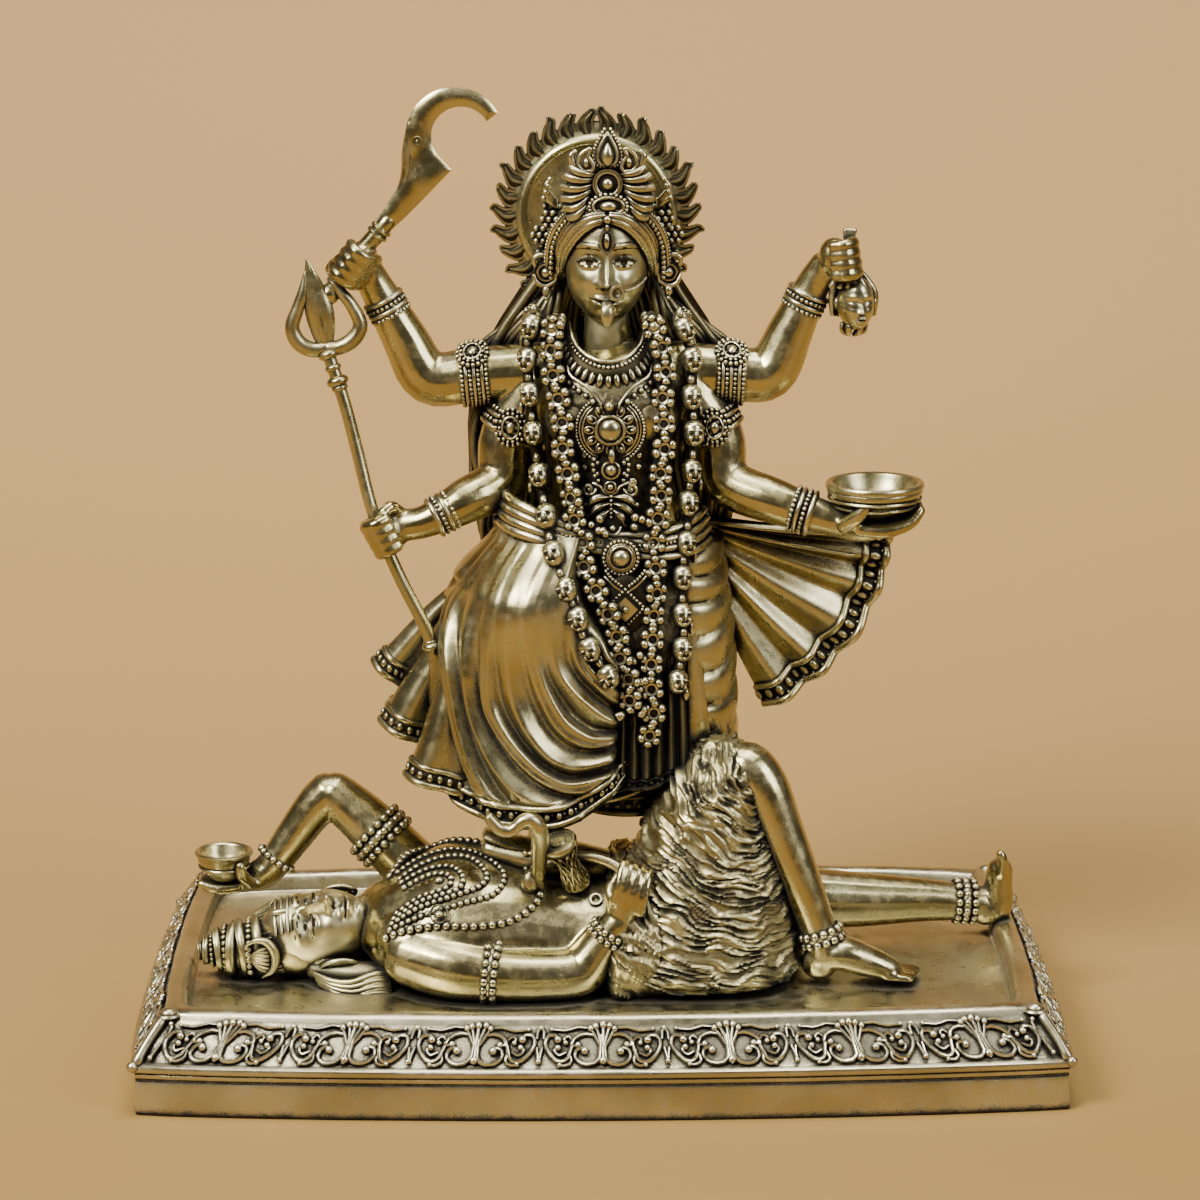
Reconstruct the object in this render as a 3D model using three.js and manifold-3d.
// A cast brass group: a four-armed goddess stands on a reclining figure, on a plinth with a scroll frieze.
// Millimetres, +Z up, +X to the viewer's right, +Y away from the viewer, origin under the plinth's middle.
import * as THREE from "three";
import { mergeVertices } from "three/addons/utils/BufferGeometryUtils.js";
import Module from "manifold-3d";

const wasm = await Module();
wasm.setup();

// Plinth
const endMargin = 4.7; // from the lying figure's toes to the plinth's short side
const sideMargin = 14; // from the lying figure's near shoulder to the plinth's long side
const longSideSwell = 3.1; // the long sides swell by this much past their corners
const shortSideSwell = 1;
const bandHeight = 6; // plain upright band round the foot
const grooveDepth = 0.4;
const ledgeRadius = 0.9; // rounded ledge above the band
const slopeRun = 4.6; // the frieze slope leans in by this much
const slopeRise = 5.2;
const frameWidth = 3.2; // raised frame round the floor
const frameRise = 1.2; // above the frieze
const floorDepth = 2.9; // floor sunk below the frame
const friezeRelief = 1.1;
const friezeModule = 18; // length of one palmette with its scrolls

// Group of the two figures
const groupHeight = 130.7; // from the plinth's floor to the top of the sword
const seatGap = 0.3; // left between the plinth, the lying figure and the goddess
const facetDrift = 0.14; // joined bodies lose the facets that matter less than this
const swordThickness = 1.5;
const haloThickness = 1.6;
const haloRim = 1.1; // width of the halo's raised rim
const flameCount = 30;
const clothThickness = 1.5;
const hemRoll = 1.0; // thickness of the rolled hems
const skirtFolds = 15;
const spearRadius = 0.95;
const staffRadius = 1; // the rod through the lying figure's hand
const goddessBowlWall = 1.2;
const cupWall = 0.8;
const beadRadius = 0.75;
const skullCount = 24;
const flowerCount = 20;
const hairLocks = 9;
const furRows = 5;

// Places and girths on the figures are drawn for a group 130.7 high over a floor at 11.3, and grow with it.
const grow = groupHeight / 130.7;
const drawnFloor = 11.3;
const drawnReach = 62.8; // toes of the lying figure, from the middle
const drawnNearSide = 24;
const halfLength = drawnReach * grow + endMargin;
const halfDepth = drawnNearSide * grow + sideMargin;
const slopeFoot = bandHeight + 2 * ledgeRadius;
const plinthHeight = slopeFoot + slopeRise + frameRise;
const floorTop = plinthHeight - floorDepth;

const xAxis = new THREE.Vector3(1, 0, 0);
const yAxis = new THREE.Vector3(0, 1, 0);
const zAxis = new THREE.Vector3(0, 0, 1);

function at(x, y, z) {
  return new THREE.Vector3(x * grow, y * grow, floorTop + (z - drawnFloor) * grow);
}

function route(...places) {
  return places.map((place) => at(...place));
}

// The value at share t of a list that is read evenly from its first entry to its last.
function between(values, t) {
  const place = t * (values.length - 1);
  const i = Math.min(Math.floor(place), values.length - 2);
  return THREE.MathUtils.lerp(values[i], values[i + 1], place - i);
}

function solid(geometry) {
  geometry.deleteAttribute("normal");
  geometry.deleteAttribute("uv");
  const merged = mergeVertices(geometry, 1e-4);
  const mesh = new wasm.Mesh({
    numProp: 3,
    vertProperties: new Float32Array(merged.attributes.position.array),
    triVerts: new Uint32Array(merged.index.array),
  });
  return new wasm.Manifold(mesh);
}

function join(pieces) {
  return pieces.flat(Infinity).reduce((whole, piece) => whole.add(piece));
}

// The body with every sealed pocket filled, because a casting has none.
function withoutPockets(body) {
  return join(body.decompose().filter((shell) => shell.volume() > 0));
}

// The body with fewer facets: a corner slides into a neighbour where that keeps every face that met at it
// within drift and turns no face round. Joining leaves many such needless corners.
function thinned(body, drift) {
  const data = body.getMesh();
  const spots = [];
  for (let i = 0; i < data.vertProperties.length; i += data.numProp) {
    spots.push(new THREE.Vector3().fromArray(data.vertProperties, i));
  }
  const faces = [];
  for (let i = 0; i < data.triVerts.length; i += 3) {
    faces.push([...data.triVerts.subarray(i, i + 3)]);
  }
  const around = spots.map(() => new Set());
  faces.forEach((face, f) => face.forEach((v) => around[v].add(f)));
  const triangle = (face) => new THREE.Triangle(...face.map((v) => spots[v]));
  const sliver = (face) => triangle(face).getArea() < drift * drift;
  const planeOf = (face) => triangle(face).getPlane(new THREE.Plane());
  const planes = around.map((ring) => {
    return [...ring].map((f) => faces[f]).filter((face) => !sliver(face)).map(planeOf);
  });
  const neighbours = (v) => new Set([...around[v]].flatMap((f) => faces[f]).filter((w) => w !== v));

  const canSlide = (v, w, ring) => {
    if (planes[v].some((plane) => Math.abs(plane.distanceToPoint(spots[w])) > drift)) return false;
    if ([...neighbours(w)].filter((x) => ring.has(x)).length !== 2) return false;
    return [...around[v]].filter((f) => !faces[f].includes(w)).every((f) => {
      const moved = faces[f].map((x) => (x === v ? w : x));
      if (sliver(moved)) return false;
      return sliver(faces[f]) || planeOf(moved).normal.dot(planeOf(faces[f]).normal) > 0.6;
    });
  };
  const slide = (v, w) => {
    for (const f of around[v]) {
      if (faces[f].includes(w)) {
        faces[f].forEach((x) => x !== v && around[x].delete(f));
        faces[f] = null;
      } else {
        faces[f][faces[f].indexOf(v)] = w;
        around[w].add(f);
      }
    }
    around[v].clear();
    planes[w].push(...planes[v]);
  };

  let slid = 1;
  while (slid) {
    slid = 0;
    spots.forEach((spot, v) => {
      if (!around[v].size) return;
      const ring = neighbours(v);
      const nearest = [...ring].sort((a, b) => spots[a].distanceTo(spot) - spots[b].distanceTo(spot));
      const target = nearest.find((w) => canSlide(v, w, ring));
      if (target === undefined) return;
      slide(v, target);
      slid++;
    });
  }
  const geometry = new THREE.BufferGeometry();
  geometry.setAttribute("position", new THREE.BufferAttribute(data.vertProperties, data.numProp));
  geometry.setIndex(faces.filter((face) => face).flat());
  return solid(geometry);
}

function reshape(geometry, move) {
  const place = geometry.attributes.position;
  for (let i = 0; i < place.count; i++) {
    const moved = move(place.getX(i), place.getY(i), place.getZ(i), i);
    place.setXYZ(i, moved.x, moved.y, moved.z);
  }
  return geometry;
}

// A closed round bar along a smooth curve. Its radius follows the list of girths, flat narrows it in the
// direction of side, and each collar [from, to, girth] is a thicker stretch such as a bracelet.
function bar(points, girths, { sides = 8, steps = 2, side = yAxis, flat = 1, collars = [] } = {}) {
  const curve = new THREE.CatmullRomCurve3(points);
  const edge = 0.01;
  const rings = steps * (points.length - 1);
  const shares = Array.from({ length: rings + 1 }, (_, i) => i / rings).filter(
    (t) => !collars.some(([from, to]) => t > from - 2 * edge && t < to + 2 * edge),
  );
  for (const [from, to] of collars) shares.push(from - edge, from, to, to + edge);
  shares.sort((a, b) => a - b);
  const drum = new THREE.CylinderGeometry(1, 1, 1, sides, shares.length - 1);
  return solid(reshape(drum, (x, y, z) => {
    const t = shares[Math.round((y + 0.5) * (shares.length - 1))];
    const along = curve.getTangentAt(t);
    const across = side.clone().addScaledVector(along, -side.dot(along)).normalize();
    const up = new THREE.Vector3().crossVectors(across, along);
    const collar = collars.find(([from, to]) => t >= from && t <= to);
    const girth = collar ? collar[2] : between(girths, t);
    return curve.getPointAt(t).addScaledVector(across, x * girth * flat).addScaledVector(up, z * girth);
  }));
}

// A bar whose girths grow with the group.
function limb(points, girths, options = {}) {
  const collars = (options.collars || []).map(([from, to, girth]) => [from, to, girth * grow]);
  return bar(points, girths.map((girth) => girth * grow), { ...options, collars });
}

// A string of beads as one body: thick and thin by turns.
function strand(points, count, radius, neck, { sides = 5, side = yAxis, flat = 1 } = {}) {
  const girths = Array.from({ length: 2 * count + 1 }, (_, i) => (i % 2 ? radius : neck));
  const curve = new THREE.CatmullRomCurve3(points);
  return bar(curve.getSpacedPoints(2 * count), girths, { sides, steps: 1, side, flat });
}

// An egg with half widths x, y and z.
function egg(place, x, y, z, detail) {
  const ball = new THREE.SphereGeometry(1, detail, Math.ceil(detail * 0.7));
  ball.rotateX(Math.PI / 2);
  ball.scale(x * grow, y * grow, z * grow);
  ball.translate(place.x, place.y, place.z);
  return solid(ball);
}

function boss(place, radius) {
  const ball = new THREE.OctahedronGeometry(radius);
  ball.translate(place.x, place.y, place.z);
  return solid(ball);
}

function towards(from, to) {
  return new THREE.Vector3().subVectors(to, from).normalize();
}

// A plate in an upright plane that faces the viewer: outline points are drawn x and z, y is its middle.
function plate(outline, thickness, y) {
  const shape = new THREE.Shape(outline.map(([x, z]) => new THREE.Vector2(x, z)));
  const slab = new THREE.ExtrudeGeometry(shape, { depth: 1, bevelEnabled: false });
  return solid(reshape(slab, (x, z, deep) => {
    const place = at(x, y, z);
    place.y += (0.5 - deep) * thickness;
    return place;
  }));
}

// A sheet of the given thickness whose middle follows surface(u, v), with u and v from 0 to 1.
function sheet(surface, across, down, thickness) {
  const small = 1e-3;
  const slab = new THREE.BoxGeometry(1, 1, 1, across, down, 1);
  return solid(reshape(slab, (x, y, z) => {
    const u = x + 0.5;
    const v = y + 0.5;
    const alongU = surface(u + small, v).sub(surface(u - small, v));
    const alongV = surface(u, v + small).sub(surface(u, v - small));
    const normal = new THREE.Vector3().crossVectors(alongU, alongV).normalize();
    const depth = typeof thickness === "function" ? thickness(u, v) : thickness;
    return surface(u, v).addScaledVector(normal, z * depth);
  }));
}

// A closed skin through a stack of rings: ring(turn, t) gives the place at an angle, from top to bottom.
function stack(ring, sides, shares) {
  const last = shares.length - 1;
  const drum = new THREE.CylinderGeometry(1, 1, 1, sides, last);
  return solid(reshape(drum, (x, y, z) => {
    return ring(Math.atan2(-z, x), shares[Math.round((0.5 - y) * last)], Math.round(Math.hypot(x, z)));
  }));
}

function polar(cx, cz, radius, degrees) {
  const turn = THREE.MathUtils.degToRad(degrees);
  return [cx + radius * Math.cos(turn), cz + radius * Math.sin(turn)];
}

function arc(cx, cz, radius, from, to, count) {
  const points = [];
  for (let i = 0; i <= count; i++) {
    points.push(polar(cx, cz, radius, THREE.MathUtils.lerp(from, to, i / count)));
  }
  return points;
}

// Plinth

// The place on the plinth's outline on side 0 front, 1 right, 2 back or 3 left, with u from -1 to 1.
function outlinePlace(side, u, inset, z) {
  const long = side % 2 === 0;
  const run = (long ? halfLength : halfDepth) - inset;
  const swell = (long ? longSideSwell : shortSideSwell) * (1 - u * u);
  const reach = (long ? halfDepth : halfLength) - inset + swell;
  const place = new THREE.Vector3(u * run, -reach, z);
  return place.applyAxisAngle(zAxis, (side * Math.PI) / 2);
}

function plinthBody(grown) {
  const innerFrame = slopeRun + frameWidth;
  const profile = [
    [null, -grown],
    [ledgeRadius * 0.5 - grown, -grown],
    [ledgeRadius * 0.5 - grown, bandHeight - 1],
    [ledgeRadius * 0.5 + grooveDepth - grown, bandHeight - 0.6],
    [ledgeRadius * 0.5 - grown, bandHeight - 0.2],
    [-grown, bandHeight + ledgeRadius],
    [ledgeRadius - grown, slopeFoot + grown],
    [slopeRun - grown, slopeFoot + slopeRise + grown],
    [slopeRun + frameWidth * 0.1 - grown, plinthHeight + grown],
    [slopeRun + frameWidth * 0.7, plinthHeight + grown],
    [innerFrame + grown, plinthHeight - frameRise * 0.5 + grown],
    [innerFrame + 0.3 + grown, floorTop + grown],
    [null, floorTop + grown],
  ];
  const sideSteps = 5;
  const points = profile.map(([inset, z]) => new THREE.Vector2(inset === null ? 0 : 1, z));
  const ring = new THREE.LatheGeometry(points, 4 * sideSteps);
  return solid(reshape(ring, (x, y, z, i) => {
    const column = Math.floor(i / profile.length) % (4 * sideSteps);
    const [inset, height] = profile[i % profile.length];
    if (inset === null) return new THREE.Vector3(0, 0, height);
    const u = (2 * (column % sideSteps)) / sideSteps - 1;
    return outlinePlace(Math.floor(column / sideSteps), u, inset, height);
  }));
}

// A flat ornament raised from the frieze slope: outline points are along the side and up the slope.
function friezeShape(outline, side, middle) {
  const shape = new THREE.Shape(outline.map(([x, y]) => new THREE.Vector2(x, y)));
  const slab = new THREE.ExtrudeGeometry(shape, { depth: 1, bevelEnabled: false });
  const slope = Math.hypot(slopeRun - ledgeRadius, slopeRise);
  const run = (side % 2 === 0 ? halfLength : halfDepth) - slopeRun / 2;
  return solid(reshape(slab, (x, y, deep) => {
    const up = 0.5 + y / slope;
    const inset = THREE.MathUtils.lerp(ledgeRadius, slopeRun, up);
    const place = outlinePlace(side, (middle + x) / run, inset, slopeFoot + up * slopeRise);
    const out = new THREE.Vector3(0, -slopeRise, slopeRun - ledgeRadius).normalize();
    out.applyAxisAngle(zAxis, (side * Math.PI) / 2);
    return place.addScaledVector(out, deep * (friezeRelief + 0.3) - 0.3);
  }));
}

function palmette(side, middle) {
  const lobes = [];
  const ribs = 5;
  for (let i = 0; i < 2 * ribs - 1; i++) {
    const turn = THREE.MathUtils.lerp(0, Math.PI, i / (2 * ribs - 2));
    const reach = i % 2 ? 2.2 : 3.5;
    lobes.push([reach * Math.cos(turn), -0.9 + reach * Math.sin(turn)]);
  }
  lobes.push([0, -2.9]);
  return friezeShape(lobes, side, middle);
}

function scroll(side, middle, hand) {
  const outer = arc(0, 0, 2.3, 10, 290, 4);
  const inner = arc(0.3, -0.1, 1.1, 270, 60, 2);
  const outline = outer.concat(inner).map(([x, y]) => [x * hand, y]);
  if (hand < 0) outline.reverse();
  return friezeShape(outline, side, middle);
}

function frieze() {
  const pieces = [];
  for (let side = 0; side < 4; side++) {
    const run = 2 * ((side % 2 === 0 ? halfLength : halfDepth) - slopeRun);
    const count = Math.max(1, Math.round(run / friezeModule));
    const pitch = run / count;
    for (let i = 0; i < count; i++) {
      const middle = (i + 0.5) * pitch - run / 2;
      pieces.push(palmette(side, middle));
      if (side === 2) continue; // the back is plainer
      pieces.push(scroll(side, middle - pitch * 0.3, -1), scroll(side, middle + pitch * 0.3, 1));
    }
  }
  return pieces;
}

function cornerRibs() {
  const pieces = [];
  for (let side = 0; side < 4; side++) {
    const foot = outlinePlace(side, 1, ledgeRadius, slopeFoot);
    const head = outlinePlace(side, 1, slopeRun, slopeFoot + slopeRise);
    pieces.push(bar([foot, head], [0.7, 0.7], { sides: 5, steps: 1 }));
  }
  return pieces;
}

// Lying figure. It is built grown by a margin when something else is cut to clear it.

function lyingBody(extra) {
  const more = extra / grow;
  const thick = (girths) => girths.map((girth) => girth + more);
  const tilt = new THREE.Vector3(0, 1, 0.45).normalize();
  const trunk = route([-33, -7, 19.5], [-27, -9, 19.5], [-17, -9, 20], [-6, -9, 19], [6, -9, 18.5],
    [13, -9, 18]);
  const shin = route([17, -8, 40], [21, -9.5, 43.5], [26.3, -12.5, 34], [30.5, -14, 20],
    [31.5, -14.5, 14]);
  const anklet = [0.76, 0.86, 3.9 + more];
  const farLeg = route([12, 3, 18], [30, 5.5, 17.8], [44, 7, 17], [60, 8, 16.5]);
  return join([
    limb(trunk, thick([5, 9.2, 9.6, 8.2, 8.8, 7]), { sides: 10, side: tilt, flat: 1.35 }),
    tigerSkin(extra),
    limb(shin, thick([4, 4.6, 4, 2.9, 2.6]), { side: xAxis, sides: 7, collars: [anklet] }),
    limb(farLeg, thick([6, 4.6, 3.6, 2.6]), { sides: 7, collars: [[0.82, 0.88, 3.7 + more]] }),
  ]);
}

// Tiger skin over the hips and the raised thigh: rows of hair tufts that step out downwards.
function tigerSkin(extra) {
  const crownShare = 0.1;
  const edge = 0.015;
  const shares = [0, 0.04, crownShare];
  for (let row = 1; row < furRows; row++) {
    const share = crownShare + (row / furRows) * (1 - crownShare);
    shares.push(share - edge, share + edge);
  }
  shares.push(1);
  const tufts = 20;
  return stack((turn, t, reach) => {
    const place = ((t - crownShare) / (1 - crownShare)) * furRows;
    const row = Math.floor(place);
    const tuft = t > crownShare ? Math.cos((tufts / 2) * turn + row * Math.PI) : 0;
    const step = t > crownShare ? 0.97 + 0.07 * (place - row) + 0.05 * tuft : 1;
    const halfX = between([2, 7.4, 9.4, 11.2, 13, 14, 15], t) * step + extra / grow;
    const halfY = between([2, 6.8, 8.4, 9.8, 11, 11.6, 12], t) * step + extra / grow;
    const low = THREE.MathUtils.lerp(47.4 + extra / grow, 11, t ** 1.15);
    return at(THREE.MathUtils.lerp(18.8, 15, t ** 0.7) + reach * halfX * Math.cos(turn),
      -8.5 + reach * halfY * Math.sin(turn), low + (t < 1 ? tuft * 0.8 : 0));
  }, tufts, shares);
}

function lyingHead() {
  const nose = route([-43.5, -11, 22.3], [-40.8, -12.4, 22], [-39.6, -12.2, 21.2]);
  const topknot = route([-44, -8, 17.4], [-50, -8, 17], [-54.6, -8, 16.4], [-59.8, -8, 15.6]);
  const bands = [[0.3, 0.4, 6.3], [0.62, 0.7, 5]];
  const pieces = [
    limb(route([-29, -7, 20.5], [-36, -8, 18.5]), [4.2, 3.6], { sides: 7, steps: 1 }),
    egg(at(-41.5, -8.5, 18), 7.6, 5.6, 5.8, 9),
    limb(nose, [0.8, 1.2, 0.9], { sides: 4, steps: 1 }),
    limb(topknot, [6.4, 5.4, 4.2, 1.6], { sides: 9, collars: bands }),
  ];
  const locks = 4;
  for (let i = 0; i < locks; i++) {
    const y = -12.5 - i * 1.7;
    const lock = route([-47, y + 2, 17 - i], [-40, y, 14.6 - i * 0.4], [-29 + i, y - 1, 13]);
    pieces.push(limb(lock, [2.2, 1.7, 1], { sides: 4 }));
  }
  return pieces;
}

function lyingArms() {
  const nearArm = route([-28.5, -16.5, 17], [-22, -19, 15.8], [-10, -20.4, 14.6],
    [-3.6, -19.8, 14.4], [-0.6, -18, 18.4], [2.4, -16.4, 23]);
  const nearRings = [[0.3, 0.38, 5], [0.86, 0.93, 3.4]];
  const farArm = route([-27, 1.4, 23.4], [-34, 3.8, 30], [-41, 5.6, 35.6], [-45.4, 5, 29.8],
    [-49.6, 4, 23.6], [-53.4, 3, 21.6], [-57.4, 2.2, 21.4]);
  return [
    limb(nearArm, [4.6, 4.8, 3.8, 3.7, 3.1, 2.4], { sides: 8, collars: nearRings }),
    fist(at(4.4, -15.4, 25.6), at(7.5, -13, 28.5), 3),
    limb(farArm, [4.6, 4, 3.4, 3, 2.4, 2.4, 1.6], { sides: 7, collars: [[0.17, 0.24, 4.7]] }),
    hollowCup(at(-56.6, 1.2, 27.6), 4.3 * grow, 4.6 * grow, cupWall),
  ];
}

// A round cup under its mouth's middle, open upwards, with walls of true thickness.
function hollowCup(mouth, radius, depth, wall) {
  const profile = [
    [0, -depth],
    [radius * 0.45, -depth],
    [radius * 0.9, -depth * 0.5],
    [radius, -wall * 0.6],
    [radius, 0],
    [radius - wall, 0],
    [radius * 0.9 - wall, -depth * 0.5],
    [radius * 0.4, -depth + wall],
    [0, -depth + wall],
  ];
  const turned = new THREE.LatheGeometry(profile.map(([r, z]) => new THREE.Vector2(r, z)), 12);
  turned.rotateX(Math.PI / 2);
  turned.translate(mouth.x, mouth.y, mouth.z);
  return solid(turned);
}

// A closed hand: its palm faces away from the knuckles, and four ridges run across for the fingers.
function fist(palm, knuckles, size) {
  const out = towards(palm, knuckles);
  const down = new THREE.Vector3(0, 0, -1).addScaledVector(out, out.z).normalize();
  const across = new THREE.Vector3().crossVectors(out, down);
  const ball = new THREE.SphereGeometry(size * grow, 6, 10);
  return solid(reshape(ball, (x, y, z) => {
    const share = y / (size * grow);
    const ridge = 1 - 0.1 * (z > 0 ? 1 + Math.cos(4 * Math.PI * share) : 0);
    const place = palm.clone().addScaledVector(across, x * ridge).addScaledVector(down, -y);
    return place.addScaledVector(out, z * ridge);
  }));
}

function foot(heel, toes, size) {
  const upright = Math.abs(towards(heel, toes).z) > 0.7;
  return limb([heel, heel.clone().lerp(toes, 0.5), toes], [size * 0.8, size, size * 0.75],
    { sides: 6, flat: 0.8, side: upright ? xAxis : zAxis });
}

function lyingOrnaments() {
  const pieces = [];
  for (let loop = 0; loop < 3; loop++) {
    const drop = loop * 3.4;
    const string = route([-31, -1, 27], [-27 + drop, -5, 29.2],
      [-21.6 + drop * 1.3, -13, 27.4 - loop * 0.3], [-28 + loop, -16, 21]);
    pieces.push(strand(string, 7 + 2 * loop, beadRadius * 1.5, beadRadius * 0.8, { sides: 4 }));
  }
  return pieces;
}

// The hourglass drum and the small trident beside the lying figure's hand.
function drumAndStaff(extra) {
  const more = extra / grow;
  const profile = [
    [0, -3.8 - more],
    [2.2 + more, -3.8 - more],
    [2.2 + more, -3],
    [1.1 + more, 0],
    [2.2 + more, 3],
    [2.2 + more, 3.8 + more],
    [0, 3.8 + more],
  ];
  const drum = new THREE.LatheGeometry(profile.map(([r, z]) => new THREE.Vector2(r, z)), 8);
  drum.scale(grow, grow, grow);
  drum.rotateX(Math.PI / 2);
  drum.rotateY(-0.32);
  const place = at(-3, -13, 28.4);
  drum.translate(place.x, place.y, place.z);
  const rod = staffRadius + extra;
  const thick = (girths) => girths.map((girth) => girth + more);
  const middleProng = route([-9.6, -13, 24], [-9.2, -13.6, 29.6], [-11, -13.4, 31.8],
    [-10.3, -13.2, 35]);
  const sideProngs = route([-16, -12.8, 35], [-14, -12.8, 31.4], [-9.2, -13.8, 29.8],
    [-6.6, -13.8, 31.8], [-8.4, -13.8, 35.2]);
  return [
    solid(drum),
    bar(route([-9, -14, 29.8], [-2, -14.6, 29.6], [8, -15, 27]), [rod, rod], { sides: 6 }),
    limb(middleProng, thick([1.6, 1.3, 1.2, 0.4]), { sides: 5, steps: 1 }),
    limb(sideProngs, thick([0.4, 1.2, 1.3, 1.2, 0.4]), { sides: 5 }),
  ];
}

function lyingFigure() {
  return join([
    lyingBody(0),
    lyingHead(),
    lyingArms(),
    lyingOrnaments(),
    drumAndStaff(0),
    foot(at(31, -14, 14), at(46, -14.5, 13), 2.8),
    foot(at(60, 8, 15.6), at(62, 8, 24.5), 2.6),
  ]);
}

// Standing goddess

function torso() {
  const spine = route([2.4, 0, 74], [2, 0, 82], [1.8, -0.4, 90], [1.8, 0, 97], [2, 1.4, 102],
    [1.3, 1.8, 110]);
  return limb(spine, [13, 10.2, 10, 11, 7.6, 3.2], { sides: 9, steps: 1, flat: 0.76 });
}

function headAndCrown() {
  const lobes = [];
  const leaves = 7;
  for (let i = 0; i < 2 * leaves - 1; i++) {
    const share = i / (2 * leaves - 2);
    const reach = (i % 2 ? 5.4 : 7.4) + 3.2 * Math.sin(Math.PI * share) ** 6;
    lobes.push(polar(1.4, 124.6, reach, THREE.MathUtils.lerp(-20, 200, share)));
  }
  const nose = route([1.2, -4.4, 119.4], [1.2, -5.8, 115.4], [1.2, -4.6, 114.2]);
  const mouth = route([-1.2, -3.9, 112.2], [1.2, -4.9, 112], [3.6, -3.9, 112.2]);
  const tongue = route([1.2, -4.2, 112.2], [1.2, -5.1, 110.6], [1.2, -4.6, 109]);
  return [
    egg(at(1.2, 1.4, 117), 6, 6.4, 9.4, 9),
    limb(nose, [0.4, 1.3, 0.6], { sides: 4, steps: 1 }),
    limb(mouth, [0.3, 0.8, 0.3], { sides: 4, steps: 1, side: zAxis }),
    limb(tongue, [0.7, 1, 0.5], { sides: 4, steps: 1 }),
    limb(route([-8.6, 3, 120], [-8, 3, 112.4]), [1.8, 2.6], { sides: 5, steps: 1 }),
    limb(route([10.9, 3, 120], [10.4, 3, 112.4]), [1.8, 2.6], { sides: 5, steps: 1 }),
    plate(lobes, 4.6 * grow, -2.2),
    boss(at(1.4, -4.8, 126.4), 2 * grow),
    boss(at(1.4, -4.6, 130.4), 1.8 * grow),
  ];
}

function halo() {
  const cx = -0.1;
  const cz = 122.8;
  const disc = 11.9;
  const tip = 15.3;
  const rimSides = 15;
  const outline = [];
  for (let i = 0; i < flameCount; i++) {
    const turn = (i * 360) / flameCount;
    const spread = 360 / flameCount;
    const hook = turn > 90 && turn < 270 ? -1 : 1;
    const lean = hook * spread * 0.45;
    outline.push(
      polar(cx, cz, disc, turn - spread * 0.45),
      polar(cx, cz, tip, turn + lean),
      polar(cx, cz, (disc + tip) / 2, turn + spread * 0.25 - lean * 0.3),
    );
  }
  const rimTurn = 360 / rimSides;
  const rim = (radius) => arc(cx, cz, radius, 0, 360 - rimTurn, rimSides - 1);
  const raised = plate(rim(disc), haloThickness * 1.7, 8);
  const sunk = plate(rim(disc - haloRim / grow), haloThickness * 2, 8);
  return [plate(outline, haloThickness, 8), raised.subtract(sunk)];
}

function hair() {
  const halfWidths = [7, 12.5, 16.5, 19, 20.2, 20.4, 20, 19, 15];
  return sheet((u, v) => {
    const down = 1 - v;
    const half = between(halfWidths, THREE.MathUtils.clamp(down, 0, 1));
    const side = 2 * u - 1;
    const lock = 0.8 * Math.cos(side * hairLocks * Math.PI);
    const bulge = 3.4 * (1 - side * side) * Math.sin(Math.PI * Math.min(1, 0.25 + down));
    return at(0.9 + side * half, 7.5 + bulge + lock, THREE.MathUtils.lerp(124, 63 + 4 * side * side, down));
  }, 2 * hairLocks, 3, 5 * grow);
}

// The hem's height round the skirt, every 30 degrees from the viewer's right, turning over the back.
const hemHeights = [43.5, 43, 42.5, 43, 47, 51, 51, 42.5, 38, 35.6, 39, 41, 43.5];

function skirt() {
  const levels = [0, 0.22, 0.5, 1];
  const middleX = [0.8, -0.6, -3, -6.2];
  const middleY = [0.5, -0.4, -0.8, 0.4];
  const halfX = [14, 17.2, 20.4, 26.2];
  const halfY = [8.4, 11, 12.6, 12.8];
  const along = (values, t) => {
    const k = levels.findIndex((level) => t <= level + 1e-9);
    if (k <= 0) return values[0];
    return THREE.MathUtils.mapLinear(t, levels[k - 1], levels[k], values[k - 1], values[k]);
  };
  return stack((turn, t, reach) => {
    const share = ((turn / (2 * Math.PI)) % 1 + 1) % 1;
    const hem = between(hemHeights, share);
    const knee = 4.2 * Math.exp(-(((turn + 2.1) / 0.5) ** 2) - ((t - 0.26) / 0.2) ** 2);
    const fold = 1 + 0.09 * t * Math.cos(skirtFolds * turn + 3 * t);
    const rolled = t > 0.94 ? hemRoll * 0.5 : 0;
    const x = along(middleX, t) + reach * (fold * along(halfX, t) + knee + rolled) * Math.cos(turn);
    const y = along(middleY, t) + reach * (fold * along(halfY, t) + knee + rolled) * Math.sin(turn);
    const z = THREE.MathUtils.lerp(79, hem, t);
    return reach ? at(x, y, z) : at(x, y, t > 0.5 ? 56 : 79);
  }, 2 * skirtFolds, [0, 0.15, 0.3, 0.5, 0.75, 0.93, 0.96, 1]);
}

// Three lappets of cloth that step up and back along the viewer's left side.
function lappets() {
  const rolled = { sides: 6, flat: 0.85 };
  return [
    limb(route([-16, -4, 66], [-20, -5, 54], [-23.6, -5.4, 40.4]), [2.6, 3.6, 5.2], rolled),
    limb(route([-16, 0, 70], [-22, 1, 58], [-28, 1.6, 47]), [2.4, 3.8, 5.6], rolled),
    limb(route([-15, 4, 72], [-23, 5, 63], [-30.6, 6, 55]), [2.2, 3, 4], rolled),
  ];
}

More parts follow.
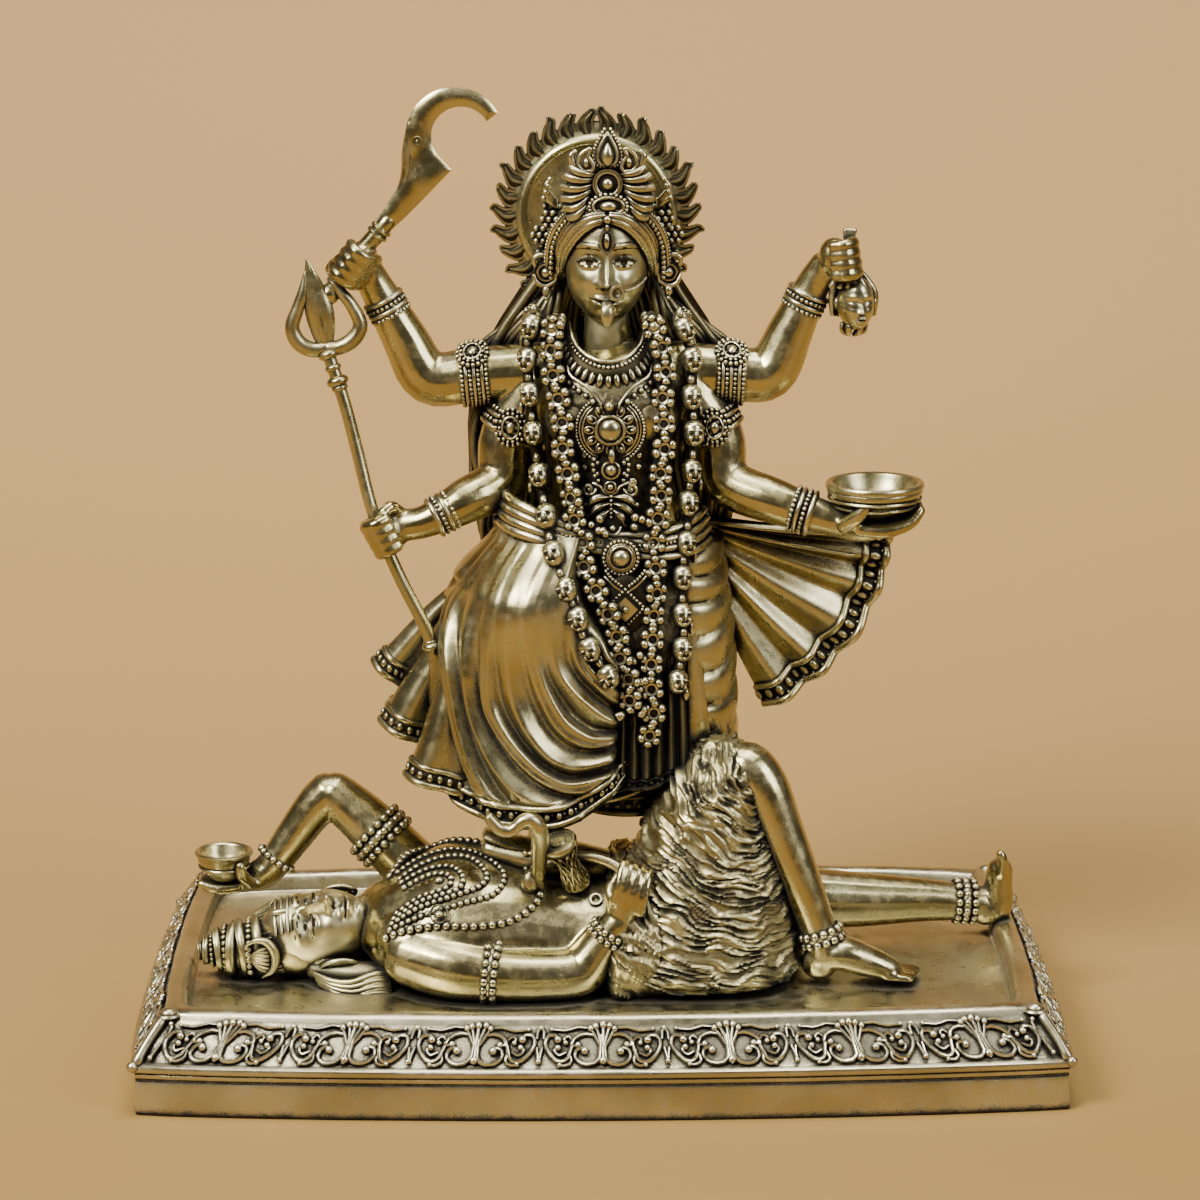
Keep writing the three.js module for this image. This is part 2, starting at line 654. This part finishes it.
function legs() {
  const wrap = [];
  const folds = 4;
  for (let i = 0; i <= 2 * folds; i++) wrap.push((i % 2 ? 7.6 : 6.6) - 0.05 * i);
  const rightShin = route([-9, -5, 48], [-8.4, -3, 36], [-8, -2.4, 32], [-8.4, -6, 31.4],
    [-9, -9.6, 31.2]);
  const leftShin = route([13, 4, 50], [12, 9, 30], [11.5, 11.6, 15.4], [11.5, 8.4, 13.2],
    [11, 3.4, 13]);
  return [
    limb(rightShin, [3.4, 2.6, 2.3, 2.4, 1.8], { sides: 6, side: xAxis }),
    limb(route([10, 2, 72], [12.8, 2, 60], [13.6, 3, 43]), wrap, { sides: 9, steps: folds }),
    limb(leftShin, [5, 3.9, 2.7, 2.4, 1.9], { sides: 7, side: xAxis }),
  ];
}

// Pleats that hang between the legs.
function pleats() {
  return sheet((u, v) => {
    const x = THREE.MathUtils.lerp(0.8, 13.8, u) + 2.6 * v;
    const y = -10 + 0.9 * Math.cos(u * 10 * Math.PI) + 3 * v;
    return at(x, y, THREE.MathUtils.lerp(38.4, 56, v));
  }, 10, 1, clothThickness * 1.8);
}

// Wind-blown end of the skirt: a fan of cloth from the waist, with a rolled hem.
function flare() {
  const pleatCount = 4;
  return sheet((u, v) => {
    const turn = THREE.MathUtils.degToRad(THREE.MathUtils.lerp(-64, -4, u));
    const reach = THREE.MathUtils.lerp(4, 33.4 + 1.2 * Math.sin((1 - u) * 9), v);
    const fold = 1.7 * v * Math.cos((1 - u) * Math.PI * 2 * pleatCount);
    return at(11 + reach * Math.cos(turn), 4.5 + 4 * v + fold, 78 + reach * Math.sin(turn));
  }, 4 * pleatCount, 4, (u, v) => clothThickness + (v > 0.75 ? hemRoll : 0));
}

function sword() {
  const cx = -20.6;
  const cz = 135.2;
  const outer = arc(cx, cz, 7.1, 205, 22, 9);
  const inner = arc(cx + 0.9, cz, 4.3, 30, 232, 8);
  const back = [[-32.4, 122.7], [-29.2, 127.4]];
  const edge = [[-21.1, 130.4], [-24.8, 126.6], [-30.6, 121.1]];
  return [
    plate([...back, ...outer, ...inner, ...edge].reverse(), swordThickness, 0),
    limb(route([-30.6, 0, 123.2], [-34.5, 0, 118.6], [-38.6, 0, 113]), [1.5, 1.4, 1.5], { sides: 6 }),
    egg(at(-39.2, 0, 112.2), 1.7, 1.6, 1.7, 6),
  ];
}

function arms() {
  const upperRight = route([-7, 3, 100.4], [-18, 3, 99.8], [-24.8, 3, 99.4], [-28.4, 3, 105.4],
    [-32.4, 2.6, 113], [-34, 2, 116]);
  const upperLeft = route([11, 3, 100.4], [20, 3, 99.8], [25.2, 3, 100], [28.2, 3, 106],
    [31.2, 2.6, 112.6], [33.4, 2, 116]);
  const lowerRight = route([-8, 2, 99], [-13.4, 1.6, 91], [-14.4, 0.4, 84.6], [-19.4, -3, 82.2],
    [-25, -4.6, 79.6], [-28.6, -4.4, 78.8]);
  const lowerLeft = route([12, 2, 99], [17.4, 1.6, 91], [18.8, 0.2, 84.4], [26, -3, 81.8],
    [33, -4.6, 79.8], [38, -5, 78.6], [44.8, -5, 79.2]);
  const girths = [4.4, 4, 3.7, 3.4, 2.5, 2.5];
  const lowerLeftGirths = [...girths.slice(0, 5), 2.4, 1.3];
  const lowerLeftRings = [[0.16, 0.26, 4.7], [0.62, 0.7, 3.6]];
  return [
    limb(upperRight, girths, { sides: 6, collars: [[0.28, 0.4, 4.8], [0.78, 0.87, 3.7]] }),
    limb(upperLeft, girths, { sides: 6, collars: [[0.2, 0.34, 4.7], [0.76, 0.86, 3.6]] }),
    limb(lowerRight, girths, { sides: 6, collars: [[0.2, 0.3, 4.7], [0.78, 0.88, 3.4]] }),
    limb(lowerLeft, lowerLeftGirths, { sides: 6, collars: lowerLeftRings }),
    fist(at(-34.6, 1.6, 117), at(-36.4, -4, 117), 3.2),
    fist(at(34.2, 1.4, 117.4), at(36, -4, 117.6), 3.1),
    fist(at(-30.2, -4.4, 78.4), at(-32, -10, 77.6), 3.1),
    hollowCup(at(40.3, -5, 85.2), 7.2 * grow, 5.8 * grow, goddessBowlWall),
  ];
}

function spear() {
  const shaft = route([-24.6, -5, 60.4], [-25.6, -5.2, 63.7], [-29.5, -5, 71.8], [-33, -4, 80.6],
    [-35.2, -2.6, 89.3], [-37.1, -2, 96.9], [-39.6, -1, 104.6]);
  const knob = spearRadius * 1.9;
  const knobs = [[0.02, 0.05, knob], [0.9, 0.93, knob], [0.96, 0.98, knob]];
  const blade = route([-39.5, -1, 103.6], [-40.2, -1, 107.6], [-41, -1, 112], [-42.2, -1, 117.4]);
  const prongs = route([-42, -1, 115.4], [-42.9, -1, 111], [-44.4, -1, 107], [-42.6, -1, 104.4],
    [-39.5, -1, 104.8], [-36.4, -1, 105.2], [-34.6, -1, 107.6], [-36.6, -1, 111], [-38.8, -1, 115.2]);
  const prongGirths = [0.3, 1, 1.2, 1.2, 1.2, 1.2, 1.2, 1, 0.3];
  return [
    bar(shaft, [spearRadius, spearRadius], { sides: 5, steps: 1, collars: knobs }),
    limb(blade, [1.5, 2.3, 1.5, 0.3], { sides: 5, steps: 1, flat: 0.6 }),
    limb(prongs, prongGirths, { sides: 4, steps: 1 }),
  ];
}

function severedHead() {
  const tuft = route([36.8, 0.6, 121.6], [36.4, 1, 117], [36, 1, 111.6], [34.6, 1.2, 107.8]);
  return [
    egg(at(37.3, 0, 110.7), 2.9, 3, 4, 7),
    limb(tuft, [1.4, 1.3, 2.8, 1], { sides: 5, steps: 1 }),
  ];
}

// Garlands of skulls and of flowers, which hang from the shoulders and meet above the feet.
function garlands() {
  const skulls = route([-9.9, -3, 107], [-10.2, -5.2, 97.3], [-8.9, -8, 86.2], [-7.2, -11.6, 76],
    [-3.6, -14.6, 66], [0.4, -13.8, 58], [5.6, -12.6, 50.4], [10.6, -11.6, 53], [12.6, -9.8, 63],
    [13.2, -8, 76], [13.9, -6, 88], [13.9, -4.6, 99], [13.2, -3, 107]);
  const flowers = route([-4.9, -4, 106], [-5.6, -7, 97], [-4, -9, 87], [-2.2, -11, 76],
    [0.6, -12.6, 66], [3, -12.4, 58], [6, -12, 50], [7.8, -11.6, 58], [8.4, -10.6, 68],
    [8.8, -9, 80], [9.4, -8, 92], [8.4, -4, 106]);
  return [
    strand(skulls, skullCount, 1.8 * grow, 0.8 * grow, { sides: 4 }),
    strand(flowers, flowerCount, 2 * grow, 1 * grow, { sides: 4 }),
  ];
}

// Choker, and the row of pendants that runs down the front from the chest to the skirt.
function jewels() {
  const choker = route([-4.4, -1.6, 106], [-2.4, -5.6, 101.6], [1.4, -7.2, 99.4],
    [5, -5.6, 101.6], [7, -1.6, 106]);
  const pendants = route([1.6, -6.4, 98.6], [1.8, -7.4, 93.2], [1.8, -7, 87.6], [1.9, -8, 81.4],
    [2.6, -9.4, 77], [3.2, -10.6, 73.1], [3.8, -11.4, 69.4], [4.1, -11.8, 66.6], [4.4, -12, 62.6]);
  const sash = route([-13.6, -3, 80.2], [-8, -7.8, 78.6], [0, -9.4, 76.6], [9, -8.4, 77], [15, -2.4, 78.4]);
  return [
    limb(choker, [1.2, 1.5, 1.7, 1.5, 1.2], { sides: 4, steps: 1 }),
    limb(pendants, [1.2, 3.9, 1.7, 3.6, 1.2, 2.9, 1, 2.5, 0.4], { sides: 7, steps: 1, flat: 0.55 }),
    limb(sash, [2.4, 2.6, 2.6, 2.6, 2.2], { sides: 4, steps: 1, flat: 0.6 }),
  ];
}

function goddess() {
  return join([
    torso(),
    headAndCrown(),
    halo(),
    hair(),
    skirt(),
    lappets(),
    legs(),
    pleats(),
    flare(),
    sword(),
    arms(),
    spear(),
    severedHead(),
    garlands(),
    jewels(),
  ]);
}

const plinthSolid = thinned(withoutPockets(join([plinthBody(0), cornerRibs(), frieze()])), facetDrift);
const plinthRoom = plinthBody(seatGap);
const lyingSolid = thinned(withoutPockets(lyingFigure().subtract(plinthRoom)), facetDrift);
const lyingRoom = join([lyingBody(seatGap), drumAndStaff(seatGap)]);
const goddessBody = goddess().subtract(plinthRoom).subtract(lyingRoom);
const goddessSolid = thinned(withoutPockets(goddessBody), facetDrift);

function mesh(name, body, colour, roughness) {
  const data = body.getMesh();
  const geometry = new THREE.BufferGeometry();
  geometry.setAttribute("position", new THREE.BufferAttribute(data.vertProperties, data.numProp));
  geometry.setIndex(new THREE.BufferAttribute(data.triVerts, 1));
  geometry.computeVertexNormals();
  const brass = new THREE.MeshStandardMaterial({ color: colour, roughness, metalness: 1 });
  const made = new THREE.Mesh(geometry, brass);
  made.name = name;
  return made;
}

const group = new THREE.Group();
group.add(mesh("plinth", plinthSolid, 0xa98d55, 0.35));
group.add(mesh("shiva", lyingSolid, 0xb39555, 0.3));
group.add(mesh("kali", goddessSolid, 0xb79a5c, 0.3));

export default group;
